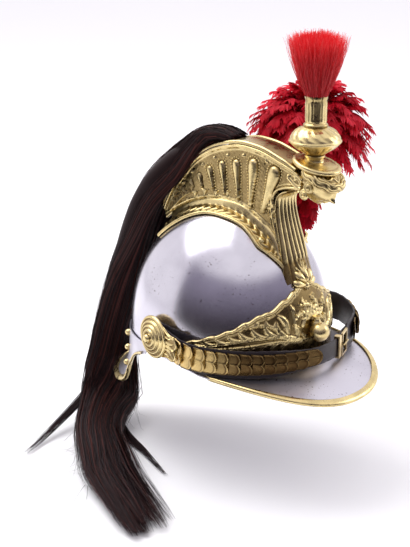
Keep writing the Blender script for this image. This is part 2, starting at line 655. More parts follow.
def crest_height(y, z):
    """Relief of the crest's side, with gadroons, rolled edges, leaves and scrolls, and its colour mark."""
    h = np.zeros(y.shape)
    groove = np.zeros(y.shape)
    for hy, hz, ty, tz, r in GADROONS:
        t = np.array([0.0, 0.06, 0.16, 0.38, 0.68, 1.0])
        path = np.stack([hy + (ty - hy) * t, hz + (tz - hz) * t], -1)
        body, gap = field(y, z, path, r * np.array([0.95, 1.05, 1.0, 0.74, 0.46, 0.2]))
        h = np.maximum(h, body**0.8 * (0.7 * r))
        groove = np.maximum(groove, np.clip(1 - np.abs(gap - 0.3) / 0.7, 0, 1))
    for path, side in ((UPPER, 1), (BASE, -1)):
        line = along(path, 70)
        for off, wide, tall in ((2.0, 2.0, 1.9), (5.4, 1.3, 1.0)):
            h = np.maximum(h, tall * field(y, z, inset(line, -side * off), wide)[0])
    edge = along(FRONT, 60)
    h = np.maximum(h, 1.6 * field(y, z, inset(edge, 1.6), 1.6)[0])
    h = np.maximum(h, 0.9 * field(y, z, inset(edge, 5.2), 1.0)[0])
    h = np.maximum(h, pearls(y, z, UPPER_PEARLS, 2.1, 2.1))
    h = np.maximum(h, pearls(y, z, LOWER_PEARLS, 1.7, 1.6))
    strokes = [(SCROLL, np.linspace(2.6, 1.6, len(SCROLL)))]
    strokes.append((spiral((-66, 150), 7.5, 1.2, 1.6, 100), np.linspace(1.6, 0.8, 26)))
    strokes.append((spiral((-76, 137), 0.8, 6, 1.2, 40), np.linspace(0.7, 1.4, 26)))
    strokes += frond([(-62, 127), (-55, 133), (-40, 141), (-20, 145.5)], 6, 9, 48, 0.2, 1.5, -1)
    strokes += frond([(74, 116), (66, 124), (52, 137), (36, 145)], 7, 12, 42, 0.25, 1.6, -1)
    strokes += frond([(76, 121), (71, 130), (62, 146), (50, 160)], 6, 8, 45, 0.2, 1.3, 1)
    strokes += [leaf((yy, zz), (yy + 5 * s, zz + 9), 0.2 * s, 1.4)
                for yy, zz in ((6, 143), (-10, 145.5), (-26, 144), (22, 141), (36, 137)) for s in (-1, 0, 1)]
    h = np.maximum(h, ridges(y, z, strokes, 1.7))
    sand = 0.28 * np.sin(y * 3.1 + 1.3 * np.sin(z * 2.3)) * np.sin(z * 3.3 + 1.1 * np.sin(y * 2.1))
    mark = np.clip(0.40 + h / 2.6 - 0.55 * groove + 0.5 * np.minimum(sand, 0) * (h < 0.3), 0, 1)
    return h + sand * (h < 0.3) - 0.5 * groove, mark


def pearl_rows(piece):
    """Small domes 3 mm apart round the five front gadroons, 2 mm outside their outline."""
    dome = lathe([[1.15, -0.6], [1.0, 0.6], [0.06, 1.25]], 6)
    for hy, hz, ty, tz, r in GADROONS[:5]:
        head, span = np.array([hy, hz]), np.array([ty - hy, tz - hz])
        go = unit(span)
        side = np.array([-go[1], go[0]])
        t = np.linspace(1, 0.05, 20)[:, None]
        reach = r * np.interp(t, [0.06, 0.16, 0.38, 0.68, 1], [1.05, 1, 0.74, 0.46, 0.2]) + 2.0
        arc = np.linspace(0.1, math.pi - 0.1, 16)[:, None]
        cap = head + (1.03 * r + 2.0) * (side * np.cos(arc) - go * np.sin(arc))
        outline = np.vstack([head + span * t + side * reach, cap, (head + span * t - side * reach)[::-1]])
        long = np.linalg.norm(np.diff(outline, axis=0), axis=1).sum()
        for y, z in along(outline, int(long / 3.0), False):
            piece.rings(placed(dome, [-16.2, y, z], [0, 1, 0], [0, 0, 1], [-1, 0, 0]), 0.95)


def crest_sides():
    """Side between the base and the upper edge, moved out by its relief, with a plain back 1.3 mm in."""
    spans = np.array(SPANS, float)
    high_step = np.linalg.norm(np.diff(spans[:, 2:], axis=0), axis=1)
    low_step = np.linalg.norm(np.diff(spans[:, :2], axis=0), axis=1)
    s = np.concatenate([[0], np.cumsum(high_step + low_step)])
    u = np.linspace(0, s[-1], 290)
    low = np.stack([np.interp(u, s, spans[:, k]) for k in (0, 1)], -1)
    high = np.stack([np.interp(u, s, spans[:, k]) for k in (2, 3)], -1)
    t = np.linspace(0, 1, 84)[None, :, None]
    p = low[:, None] * (1 - t) + high[:, None] * t
    h, mark = crest_height(p[..., 0], p[..., 1])
    front = np.concatenate([-16 - h[..., None], p], -1)
    back = np.stack([np.concatenate([np.full((290, 1), -14.7), e], -1) for e in (high, low)], 1)
    piece = Piece("crest_sides")
    piece.rings(np.concatenate([front, back], 1), np.concatenate([mark, np.ones((290, 2))], 1))
    pearl_rows(piece)
    flange(piece)
    piece.make(BRASS, "brass", "crest_right", "crest_left", mirror=True)


FLANGE = [
    # x and y of the flange edge, from the back
    (-44.8, 45.7), (-39.1, 22.9), (-35.4, 4.7), (-33.3, -21.8), (-31.1, -42.3), (-32.5, -57.3),
    (-33.6, -66.5), (-29.6, -75.5), (-23.4, -86.6), (-20.9, -90.9),
]


def flange(piece):
    """Foot of the crest on the skull, from x = -16 on the base line out to the flange's rolled edge."""
    base_line = along([[-16.0, y, z] for y, z in BASE[1:]], 150)
    inner = base_line[:, :2]
    outer = along([(-47.5, 62)] + FLANGE, 150)
    t = np.linspace(0, 1, 30)[None, :, None]
    p = inner[:, None] * (1 - t) + outer[:, None] * t
    x, y = p[..., 0], p[..., 1]
    t = t[..., 0]
    wide = np.linalg.norm(outer - inner, axis=1)[:, None]
    s = np.linspace(0, 190, 150)[:, None]
    edge = np.sqrt(np.maximum(0, 1 - (((1 - t) * wide - 1.6) / 1.7) ** 2)) * 1.6
    second = np.sqrt(np.maximum(0, 1 - (((1 - t) * wide - 4.6) / 0.8) ** 2)) * 0.7
    root = np.sqrt(np.maximum(0, 1 - ((t * wide - 1.5) / 2.2) ** 2)) * 2.4
    petals = np.maximum(0, np.sin(s * 0.62 + 2.4 * np.sin(t * wide * 0.5)))
    flower = petals * np.maximum(0, np.sin(t * math.pi)) * 1.1
    h = np.maximum(np.maximum(edge, second), np.maximum(root, flower))
    z = skull_top(x, y, 1.0)
    normal = unit(np.stack([x / HALF_WIDTH**2, y / HALF_LENGTH**2, z / HEIGHT**2], -1))
    lift = base_line[:, 2:] + 0.5 - z[:, :1]
    base = np.stack([x, y, z + np.maximum(lift, 0) * (1 - ease(t * wide, 0, 5))], -1)
    mark = np.clip(0.3 + h / 1.6, 0, 1)
    back = (base + normal * 0.1)[:, ::-7]
    piece.rings(np.concatenate([base + normal * (1.2 + h)[..., None], back], 1),
                np.concatenate([mark, np.ones(back.shape[:2])], 1))


def crest_top():
    """Strip 34.4 mm wide over the upper edge, its two edges rolled and one lap across it."""
    line = along([[0, y, z] for y, z in UPPER[:13]], 120)
    up = unit(np.cross(np.gradient(line, axis=0), [1.0, 0, 0]))
    up *= np.sign(up[:, 2:])
    x = np.linspace(-17.3, 17.3, 41)[None, :, None]
    u = np.linspace(0, 1, 120)[:, None, None]
    roll = 1.3 * np.sqrt(np.maximum(0, 1 - ((np.abs(x) - 15.2) / 2.1) ** 2))
    lap = 0.8 * (ease(u, 0.56, 0.565) - ease(u, 0.93, 0.98))
    rise = 2.0 + roll + 0.7 * (1 - (x / 17) ** 2) + lap
    across = np.array([1.0, 0, 0])
    top = line[:, None] + x * across + up[:, None] * rise
    low = line[:, None] + np.linspace(17.3, -17.3, 5)[None, :, None] * across + up[:, None] * 0.75
    mark = np.clip(0.55 + roll[..., 0] * 0.5 + 0 * u[..., 0], 0, 1)
    piece = Piece("crest_ridge_strip")
    piece.rings(np.concatenate([top, low], 1), np.concatenate([mark, np.ones((120, 5))], 1))
    piece.make(BRASS, "brass", "crest_top")


COLUMN = [(-90, 165.5), (-83, 162.5), (-78.5, 157.5), (-77, 150), (-78, 139), (-83.5, 118.9), (-90.5, 98.6),
          (-97.5, 82), (-102.6, 70.5)]


def crest_column():
    """Six reeds side by side down a bent spine that widens to the brow, with a palmette at the foot."""
    line = along([[0, y, z] for y, z in COLUMN], 110)
    go = unit(np.gradient(line, axis=0))
    front = unit(np.cross(go, [1.0, 0, 0]))
    front *= -np.sign(front[:, 1:2])
    u, v = grid((0, 1), (-1, 1), 110, 121)
    half = 15.4 + 7.6 * u**1.3
    hug = np.where(u > 0.6, v**2 * 5.5 * (u - 0.6) / 0.4, 0)
    reed = np.abs(np.sin(3 * math.pi * (v + 1)))**0.7
    turns = np.radians(np.arange(-75, 76, 25))
    petals = [leaf([0, 71], [12 * math.sin(m), 74 + 17 * math.cos(m)], 0, 1.9) for m in turns]
    z = line[:, 2][:, None] + 0 * v
    palm = ridges(half * v, z, petals, 2.0)
    fade = ease(z, 88, 96)
    h = np.maximum(palm, 1.9 * reed * (0.25 + 0.75 * fade))
    crown = 1.5 * (1 - v * v) + h - hug
    x_axis = np.array([1.0, 0, 0])
    top = line[:, None] + (half * v)[..., None] * x_axis + front[:, None] * crown[..., None]
    back_v = np.linspace(1, -1, 7)
    back = line[:, None] + (half[:, :1] * back_v)[..., None] * x_axis + front[:, None] * (
        -1.3 - np.where(u[:, :1] > 0.6, back_v**2 * 5.5 * (u[:, :1] - 0.6) / 0.4, 0))[..., None]
    mark = np.clip(0.1 + 0.9 * h / 1.9, 0, 1)
    piece = Piece("reeded_column")
    piece.rings(np.concatenate([top, back], 1), np.concatenate([mark, np.ones((110, 7))], 1))
    palmette(piece)
    piece.make(BRASS, "brass", "crest_column")
    screws = Piece("crest_screws")
    for side in (-1, 1):
        x, y = side * 26.4, -66.0
        z = float(skull_top(np.array(x), np.array(y), 0.9)) + 1.3
        out = unit(np.array([x / HALF_WIDTH**2, y / HALF_LENGTH**2, z / HEIGHT**2]))
        go = unit(np.cross(out, [0, 1.0, 0]))
        head = lathe([[0.02, 0], [3.4, 0], [3.4, 1.2], [2.8, 2.2], [1.6, 2.7], [0.02, 2.8]], 24)
        screws.rings(placed(head, np.array([x, y, z]) + out * 1.2, go, np.cross(out, go), out))
    screws.make(BRASS, "brass", "crest_screw_right", "crest_screw_left")


def palmette(piece):
    """Fan below the column: radius 13 + 5.5 |cos 4.5 a| above and 5.5 below, its petals raised alike."""
    a = np.linspace(0, 2 * math.pi, 168, endpoint=False)[None]
    share = np.linspace(0.02, 1, 26)[:, None]
    fan = np.abs(np.cos(4.5 * a)) ** 0.7
    above = ease(np.cos(a), -0.45, 0.1)
    r = share * (5.5 + above * (7.5 + 5.5 * fan))
    x, z = 0.86 * r * np.sin(a), 66 + r * np.cos(a)
    petal = fan * np.sin(math.pi * np.minimum(share * 0.62 + 0.2, 1)) * (0.8 + 1.6 * above)
    button = 2.4 * np.sqrt(np.maximum(0, 1 - (r / 3.2) ** 2))
    h = np.maximum(petal * ease(share, 0.1, 0.3), button)
    off = 3.4 + 3.2 * ease(z, 64, 76) + h * (1 - 0.6 * ease(share, 0.85, 1))

    def bent(off):
        """Points on the brow of the skull at x and z, off millimetres out."""
        inside = 1 - (x / (HALF_WIDTH + off)) ** 2 - (z / (HEIGHT + off)) ** 2
        y = -LEAN * z / HEIGHT - (HALF_LENGTH + off) * np.sqrt(inside)
        return np.stack([x + 0 * y, y, z + 0 * y], -1)

    rings = np.concatenate([bent(off), bent(1.0 + 0 * off)[::-5]], 0)
    piece.rings(rings, np.concatenate([np.clip(0.1 + h / 1.8, 0, 1), np.ones((6, 168))], 0))


# Mask on the front of the crest
FACE = unit(np.array([0, -0.82, -0.57]))
CROWN = unit(np.array([0, -0.57, 0.82]))
FEATURES = [
    # across, up, reach across, reach up, rise
    [0, -1.5, 1.9, 5.0, 3.4], [0, -6.2, 2.7, 2.5, 5.8], [0, 4.5, 2.6, 3.0, 0.9],
    [7.0, 5.6, 5.0, 1.5, 1.8], [7.0, 1.2, 3.9, 2.6, -2.8], [6.9, 0.8, 3.0, 1.5, 1.9],
    [9.8, -6.5, 4.6, 4.2, 1.3], [2.6, -11.3, 3.2, 1.0, 2.0], [0, -14.2, 3.9, 1.1, 2.4],
    [0, -12.7, 5.0, 0.5, -1.4], [0, -16.6, 4.2, 1.0, -1.2], [0, -20.0, 4.8, 3.2, 3.4],
]
LID = [
    # radius, height
    [0.1, -1.2], [19, -1.2], [21.4, -1.8], [23, -0.4], [23.4, 1.8], [22.2, 3.7], [20.2, 4.2],
    [18.6, 3.7], [12, 5.0], [0.1, 5.6],
]


def mask():
    """Egg-shaped head with a face of gaussian hills, under a roll of waved hair, curls and a flat lid."""
    centre = np.array([0, -121, 180.5])
    rise, turn = grid((-89, 89), (-180, 180), 84, 121)
    rise, turn = np.radians(rise[:, :-1]), np.radians(turn[:, :-1])
    level = 23.8 * np.sin(rise)
    narrow = 1 - 0.30 * ease(-level, 2, 24)
    x = 17.6 * np.cos(rise) * np.sin(turn) * narrow
    f = 21.5 * np.cos(rise) * np.cos(turn) * (1 - 0.10 * ease(-level, 8, 24))
    hill = np.zeros(x.shape)
    for across, up, reach, tall, amount in FEATURES:
        for side in ((-1, 1) if across else (1,)):
            hill += amount * np.exp(-(((x - side * across) / reach) ** 2) - ((level - up) / tall) ** 2)
    hill *= ease(f, 2, 9)
    hairy = np.maximum(ease(level, 9.0, 11.5), ease(-f, -7, 0) * ease(level, -22, -16))
    wave = 0.5 * np.sin(1.1 * level + 3 * np.sin(5 * turn))
    f = f + hill
    w = np.where(level > 10, 10 + (level - 10) * 0.4, level)
    swell = 1 + hairy * (1.6 + wave) / 22
    head = centre + (x * swell)[..., None] * [1, 0, 0] + (f * swell)[..., None] * FACE
    head = head + (w * swell)[..., None] * CROWN
    mark = np.clip(0.80 + 0.30 * hill - hairy * 0.35 * (1 - wave), 0, 1)
    piece = Piece("face_mask")
    piece.rings(head, mark)
    a = np.radians(np.linspace(-128, 128, 130))
    line = centre + (17.6 * np.sin(a))[:, None] * [1, 0, 0] + (20.6 * np.cos(a))[:, None] * FACE
    line = line + (9.5 - 6 * (np.abs(a) / 2.2) ** 3)[:, None] * CROWN
    ring = np.linspace(0, 2 * math.pi, 36, endpoint=False)
    groove = np.sin(7 * ring[None] + 2.2 * np.sin(9 * a[:, None]) + 4 * a[:, None])
    roll = tube(line, 4.4, 5.2, 36, CROWN)
    roll = line[:, None] + (roll - line[:, None]) * (1 + 0.09 * groove)[..., None]
    piece.rings(roll, np.clip(0.72 + 0.5 * groove, 0, 1))
    for side in (-1, 1):
        for up, ahead, size in ((-4, 2, 6.2), (-14, 2, 5.4)):
            flat = spiral((ahead, up), size, 1.0, 2.0, 90, 44)
            curl = centre + np.array([side * 16.8, 0, 0]) + flat[:, :1] * FACE + flat[:, 1:] * CROWN
            curl[:, 0] += side * np.linspace(0, 3.0, 44)
            piece.rings(tube(curl, np.linspace(2.1, 1.0, 44), np.linspace(2.1, 1.2, 44), 10, [1.0, 0, 0]))
    up = unit(np.array([0, -0.22, 0.975]))
    lid = lathe(along(LID, 40, False), 72) * [1, 1.16, 1]
    piece.rings(placed(lid, [0, -116, 195.5], [1, 0, 0], np.cross(up, [1, 0, 0]), up), 0.9)
    foot = lathe([
        [0.1, 192.5], [12, 192.5], [11.4, 197], [9.2, 200], [8.8, 203], [10.4, 205], [10.4, 206.5],
        [0.1, 206.5],
    ], 48)
    piece.rings(foot + [0, FINIAL_Y, 0])
    piece.make(BRASS, "brass", "mask")


# Finial: vase, tube and brush of red hair
def finial():
    """Turned vase with a fluted underside and a twisted top, and a neck with eight veined leaves."""
    vase = [
        [0.1, 206.8], [9, 206.8], [10, 207.6], [12.5, 209], [17, 211.8], [21, 214.5], [24.2, 217.4],
        [26, 219.4], [27.1, 220.6], [27.3, 221.4], [26.2, 222.8], [25.4, 225], [23.5, 228.5],
        [20.6, 231.6], [17, 234], [12.2, 236], [0.1, 236],
    ]
    rows = along(vase, 90, False)
    z = rows[:, 1][:, None]
    turn = np.linspace(0, 2 * math.pi, 96, endpoint=False)[None]
    r = rows[:, :1]
    inside = ease(r, 11, 15)
    below = -1.0 * (1 - np.abs(np.sin(9 * turn)) ** 0.6) * ease(z, 208, 211) * (1 - ease(z, 217, 219.5))
    twist = 0.45 * np.sin(14 * turn + (z - 222) * 0.5) * ease(z, 223, 226) * inside
    dip = (below + twist) * inside
    points = lathe(rows, 96, lambda a, t: dip)
    bowl = Piece("finial_bowl").rings(points + [0, FINIAL_Y, 0], np.clip(0.95 + dip * 0.8, 0, 1))
    bowl.make(BRASS, "brass", "finial_vase")
    neck = [
        [0.1, 236.3], [12.6, 236.3], [13.4, 237.4], [12.6, 238.6], [11, 240], [10.8, 250], [11.2, 262],
        [12.2, 265.6], [12.2, 267.4], [10.6, 267.4], [9.9, 262], [9.9, 243], [0.1, 243],
    ]
    rows = along(neck, 80, False)
    z = rows[:, 1][:, None]
    outer = (np.arange(80) < 46)[:, None]
    leafy = 0.7 * np.abs(np.sin(4 * turn)) ** 0.5 * ease(z, 240, 242) * (1 - ease(z, 258, 263)) * outer
    vein = -0.5 * np.clip(1 - np.abs(np.sin(4 * turn + math.pi / 2)) * 6, 0, 1) * outer * ease(z, 240, 244)
    points = lathe(rows, 96, lambda a, t: leafy + vein - 0.4 * outer)
    mouth = Piece("finial_neck").rings(points + [0, FINIAL_Y, 0], np.clip(0.55 + leafy + vein, 0, 1))
    mouth.make(BRASS, "brass", "finial_tube")


TUFT_STRANDS = 4800


def hair_tuft():
    """Strands that spread from the tube's mouth by r(t) = 9 + 22 t^0.6, each with its own small bend."""
    n, steps = TUFT_STRANDS, 8
    t = np.linspace(0, 1, steps)[None]
    own = random.standard_normal((n, 3))
    a = random.uniform(0, 2 * math.pi, (n, 1)) + 0.16 * own[:, :1] * t**1.5
    share = np.sqrt(random.uniform(0.02, 1, (n, 1)))
    tall = 331 - 6 * share**2 - 24 * random.uniform(0, 1, (n, 1)) ** 2.2 + 1.6 * own[:, 1:2]
    z = 250 + (tall - 250) * t
    over = np.clip((z - 267) / 62, 0, 1.1)
    r = share * (9.4 + 21.5 * over**0.62) * (1 + 0.11 * own[:, 2:] * over**1.5)
    r = np.minimum(r, np.where(z < 268.5, 9.4, 33))
    bow = 1.6 * over * np.sin(5 * t + 6 * own[:, :1])
    paths = np.stack([r * np.cos(a) + bow, FINIAL_Y + r * np.sin(a) - bow, np.minimum(z, 333)], -1)
    facing = unit(np.stack([np.cos(a), np.sin(a), 0 * a], -1) + 0.6 * random.standard_normal((n, 1, 3)))
    piece = Piece("tuft_strands")
    piece.ribbons(paths, 0.8 - 0.55 * t, facing, 0.2 + 0.8 * t, random.uniform(0, 1, n) ** 1.2)
    core = lathe([[0.1, 244], [9.2, 244], [9.3, 267], [12.5, 276], [15, 286], [11, 294], [0.1, 298]], 32)
    piece.rings(core + [0, FINIAL_Y, 0], 0.0)
    piece.make(RED_HAIR, "red_horsehair", "hair_tuft")


# Chin strap with its scales
STRAP_PATH = [
    [-100.4, 30, 8.5], [-102.2, 13, 7.5], [-107.8, -15, 3], [-109, -30, 0], [-105.5, -45, -2.5],
    [-88, -78, -4.5], [-60, -107, -5.2], [-25, -124.5, -5.2], [0.6, -130, -5.4], [28, -127, -6],
    [52, -118, -6.5], [76, -110, -5], [94, -100, -2], [112.5, -70, 2], [112.5, -48, 4],
    [109.5, -28, 5.5], [107.8, -15, 6.5], [102.2, 13, 7.5], [100.4, 30, 8.5],
]
STRAP = along(STRAP_PATH, 4001)
STRAP_LONG = float(np.linalg.norm(np.diff(STRAP, axis=0), axis=1).sum())
STRAP_S = np.linspace(0, STRAP_LONG, 4001)
ROSETTE_S = STRAP_S[(STRAP[:, 1] > 13) & (STRAP[:, 0] < 0)].max()
BUCKLE_S = STRAP_S[STRAP[:, 0] < 50].max()
FAR_S = STRAP_S[STRAP[:, 1] < 13].max()
PITCH, FIRST, LAST, START, TILT = 12.1, 27.0, 20.5, 40.0, 0.115
END_S = ROSETTE_S + START + 12 * PITCH


def strap_at(s):
    """Point, level direction and outward direction of the strap's middle line at length s."""
    s = np.clip(np.asarray(s, float), 0, STRAP_LONG)
    p = np.stack([np.interp(s, STRAP_S, STRAP[:, k]) for k in range(3)], -1)
    d = np.gradient(STRAP, axis=0)
    d = np.stack([np.interp(s, STRAP_S, d[:, k]) for k in range(3)], -1)
    flat = unit(d * [1, 1, 0])
    out = np.stack([-flat[..., 1], flat[..., 0], np.zeros_like(flat[..., 0])], -1)
    out *= np.sign(np.sum(out * p * [1, 1, 0], -1, keepdims=True))
    return p, flat, out


def band(start, end, height, shift, count):
    """Leather band: section with rounded edges and a slightly full face, swept along the strap."""
    s = np.linspace(start, end, count)
    p, _, out = strap_at(s)
    half = height(s) / 2
    thick = 1.1
    section = [(-1, -0.95), (-0.6, -1), (0.6, -1), (1, -0.94), (1.06, -0.6), (1.1, 0), (1.06, 0.6),
               (1, 0.94), (0.6, 1), (-0.6, 1), (-1, 0.95), (-1, 0)]
    wave = 1 + 0.035 * np.abs(np.sin(math.pi * (s - ROSETTE_S - START) / PITCH))
    rise = np.array([0, 0, 1])
    rings = [p + out * (o * thick + shift(s))[:, None] + rise * (-0.8 + v * half * wave)[:, None]
             for o, v in section]
    return np.stack(rings, 1)


def straps():
    """The near strap narrows to its tongue through the buckle, and the far strap widens behind it."""
    narrow = lambda s: lookup([[ROSETTE_S + 130, 29], [END_S + 8, 20]], np.maximum(s, ROSETTE_S + 130))
    tuck = lambda s: lookup([[BUCKLE_S - 12, 0], [BUCKLE_S + 6, -2.7]], np.maximum(s, BUCKLE_S - 12))
    widen = lambda s: lookup([[BUCKLE_S + 4, 20], [BUCKLE_S + 15, 31]], np.maximum(s, BUCKLE_S + 4))
    still = lambda s: np.zeros_like(s)
    near = Piece("leather_strap_right").rings(band(0.5, BUCKLE_S + 48, narrow, tuck, 260))
    near.make(LEATHER, "leather", "strap_right")
    far = Piece("leather_strap_left").rings(band(BUCKLE_S + 6.5, STRAP_LONG - 0.5, widen, still, 200))
    far.make(LEATHER, "leather", "strap_left")


def scale_surface(width, length, shade, rounded):
    """Thin ribbed plate, its front edge at length - 2.4 + 3 |sin(pi c)|^0.8 or a half circle."""
    t, c = grid((0, 1), (-1, 1), 18, 33)
    end = length - width / 2 + width / 2 * np.sqrt(1 - c**2) if rounded else length - 2.4 + 3.0 * np.abs(
        np.sin(math.pi * c)) ** 0.8 - 1.6 * np.abs(c) ** 8
    x = t * end
    y = c * width / 2 * (1 - 0.04 * t)
    near_end = (end - x)
    side = width / 2 * (1 - np.abs(c))
    lip = np.exp(-((np.minimum(near_end, side + 0.5) - 0.6) / 0.55) ** 2)
    rib = np.exp(-((y / 0.9) ** 2)) * ease(t, 0.1, 0.5)
    h = 0.9 + 1.0 * (1 - c**2) * (0.4 + 0.6 * t) + 0.5 * lip + 0.3 * rib
    crease = np.exp(-((near_end - 2.4) ** 2))
    mark = np.clip(0.85 - 0.62 * shade + 0.6 * lip + 0.2 * rib - 0.4 * crease, 0, 1)
    top = np.stack([x, y, h], -1)
    low = np.stack([x[:, ::-8], y[:, ::-8], np.zeros_like(x[:, ::-8])], -1)
    return np.concatenate([top, low], 1), np.concatenate([mark, np.ones(low.shape[:2])], 1)


def lay_scale(piece, s, forward, width, length, tilt, shade, rounded=False):
    """Lays one scale on the strap at length s, turned along it and tilted up off it."""
    p, flat, out = strap_at(s)
    p = p + out * 1.65
    ahead = flat * forward
    lean = ahead * math.cos(tilt) + out * math.sin(tilt)
    there, _, out2 = strap_at(s + forward * PITCH)
    pitch = math.atan2((there + out2 * 1.65)[2] - p[2], PITCH)
    lean = unit(lean * math.cos(pitch) + np.array([0, 0, math.sin(pitch)]))
    normal = unit(np.cross(lean, [0, 0, 1.0]))
    normal *= np.sign(normal @ out)
    up = unit(np.cross(normal, lean))
    points, mark = scale_surface(width, length, shade, rounded)
    piece.rings(placed(points, p, lean, up, normal), mark, shade)


def scales():
    """Twelve scales and an end plate on the near strap, and nine scales on the far one, ever narrower."""
    right = Piece("brass_scales_right")
    shades = [0.0, 0.05, 0.1, 0.2, 0.45, 0.7, 0.85, 0.8, 0.9, 0.85, 0.9, 0.85]
    for k in range(12):
        width = FIRST + (LAST - FIRST) * k / 11
        lay_scale(right, ROSETTE_S + START + (k - 0.55) * PITCH, 1, width, 14.4, TILT, shades[k])
    right.make(DARK_BRASS, "dark_brass", *[f"scale_right_{k:02d}" for k in range(1, 13)])
    end = Piece("strap_end_plate")
    lay_scale(end, END_S - 0.55 * PITCH, 1, 19, 20, 0.04, 0.8, True)
    end.make(DARK_BRASS, "dark_brass", "strap_end_right")
    left = Piece("brass_scales_left")
    for k in range(9):
        width = FIRST + (LAST + 1 - FIRST) * k / 8
        lay_scale(left, FAR_S - START - (k - 0.55) * PITCH, -1, width, 14.4, TILT, shades[k])
    left.make(DARK_BRASS, "dark_brass", *[f"scale_left_{k:02d}" for k in range(1, 10)])


def rosettes():
    """Stepped disc of rolled rings round a ball, on a plate with a waisted tail that ends in two lobes."""
    profile = [[0.1, 0], [23.2, 0], [23.4, 1.2], [22.9, 2.6], [21.9, 3.4], [20.6, 3.3], [19.6, 2.6],
               [18.9, 2.9], [18.4, 4.6], [17.4, 5.6], [16.2, 5.5], [15.2, 4.7], [14.5, 5.0], [14, 6.6],
               [13, 7.6], [11.9, 7.5], [11, 6.6], [10.4, 6.8], [9.8, 8.1], [8.6, 9], [7.4, 8.8],
               [6.2, 7.8], [5.2, 7.8], [4.8, 9.2], [4.5, 11], [3.4, 12.4], [1.8, 13.1], [0.1, 13.2]]
    rows = along(profile, 84)
    deep = np.gradient(rows[:, 1])
    creases = ((rows[:, :1] - [19.6, 15.2, 11, 5.9]) / 0.7) ** 2
    mark = np.clip(0.75 + 0.25 * np.sign(deep) - 0.7 * np.exp(-creases.min(1)), 0, 1)
    disc = lathe(rows, 80) + [0, 0, 0.9]
    t, c = grid((0, 1), (-1, 1), 70, 41)
    half = lookup([[0, 8], [0.2, 20.5], [0.45, 21], [0.6, 17.5], [0.86, 13.4], [1, 14.2]], t)
    end = 37.5 + 4.6 * np.abs(np.sin(math.pi * c)) ** 0.9 - 3 * np.abs(c) ** 6
    x = -20 + (end + 20) * t
    y = c * half
    edge = np.minimum((1 - np.abs(c)) * half, (end - x) * 0.9)
    roll = np.exp(-(((edge - 1.4) / 1.0) ** 2))
    veins = ridges(x, y, [leaf([17, 0], [38, 0], 0, 2.2), leaf([20, 5], [38, 8.5], -0.15, 1.7),
                          leaf([20, -5], [38, -8.5], 0.15, 1.7), leaf([19, 10], [32, 11], -0.1, 1.0),
                          leaf([19, -10], [32, -11], 0.1, 1.0)], 1.4)
    h = 1.4 + 1.0 * roll + veins
    top = np.stack([x, y, h], -1)
    low = np.stack([x[:, ::-12], y[:, ::-12], 0 * x[:, ::-12]], -1)
    tail = np.concatenate([top, low], 1)
    tail_mark = np.concatenate([np.clip(0.3 + 0.6 * roll + veins * 0.5, 0, 1), np.ones(low.shape[:2])], 1)
    ahead = unit(np.array([-0.214, -0.96, -0.13]))
    out = unit(np.array([-1, 0.217, 0]))
    up = unit(np.cross(out, ahead))
    normal = unit(np.cross(ahead, up))
    origin = [-105.6, 12.7, 7.5]
    piece = Piece("strap_rosettes")
    piece.rings(placed(disc, origin, ahead, up, normal), np.repeat(mark[:, None], 80, 1))
    piece.rings(placed(tail, origin, ahead, up, normal), tail_mark)
    piece.make(BRASS, "brass", "rosette_right", "rosette_left", mirror=True)


# Plume in its holder on the wearer's left
FOOT, TOP = np.array([102.5, -22, 36.0]), np.array([86, -31, 87.0])


def plume_holder():
    """Turned socket with a ring and a rolled mouth, from the skull up to the foot of the plume."""
    up = unit(TOP - FOOT)
    go = unit(np.cross(up, [0, 1.0, 0]))
    long = float(np.linalg.norm(TOP - FOOT))
    profile = [[0.1, 0], [5.6, 0], [6.4, 2], [6.4, long - 12], [7.0, long - 11], [6.4, long - 10],
               [6.4, long - 3],
               [7.4, long - 2], [7.4, long], [5.2, long], [5.2, 6], [0.1, 6]]
    Piece("plume_socket").rings(placed(lathe(profile, 40), FOOT, go, np.cross(up, go), up)).make(
        BRASS, "brass", "plume_holder")


def keep_clear(p):
    """Moves feather points off the crest, within x = 20 below z = 214, and off the finial, 31 mm round."""
    x, y, z = p[..., 0], p[..., 1], p[..., 2]
    away = np.hypot(x, y - FINIAL_Y)
    push = np.where((away < 31) & (z > 150), 31 / np.maximum(away, 1), 1)
    x, y = x * push, FINIAL_Y + (y - FINIAL_Y) * push
    x = np.where((z < 214) & (y > -125), np.maximum(x, 20.5), x)
    return np.stack([x, y, z], -1)


def barbs_of(piece, shaft, width, light, shade):
    """Two rows of barbs on each shaft: barb = shaft + direction * length * u - z * 0.3 * length * u^2."""
    n, m = shaft.shape[:2]
    q = 5
    u = np.linspace(0, 1, q)
    tangent = unit(np.gradient(shaft, axis=1))
    side = unit(np.cross(tangent, [0, 0, 1.0]) + 1e-3)
    over = np.cross(side, tangent)
    for sign in (-1, 1):
        long = width * random.uniform(0.62, 1.22, width.shape)
        lean = 0.95 + 0.14 * random.standard_normal(width.shape)
        curl = 0.10 * random.standard_normal(width.shape) - 0.12
        direct = unit(sign * side + tangent * lean[..., None] + over * curl[..., None])
        barbs = shaft[:, :, None] + direct[:, :, None] * (long[..., None] * u)[..., None]
        barbs[..., 2] -= 0.3 * long[..., None] * u**2
        barbs = keep_clear(barbs.reshape(-1, q, 3))
        facing = np.repeat(over.reshape(-1, 1, 3), q, 1) + 0.12 * random.standard_normal((n * m, 1, 3))
        tone = (light[..., None] * (0.5 + 0.5 * u)).reshape(-1, q)
        tint = np.repeat(shade, m) + random.uniform(0, 0.25, n * m)
        piece.ribbons(barbs, 2.5 - 1.6 * u**2, facing, tone, tint)
    piece.ribbons(keep_clear(shaft), 1.1, over, 0.5, 0.3)


BUSH = {"centre": (82, -45, 212), "across": 66.0, "deep": 50.0, "tall": 61.0, "feathers": 190}


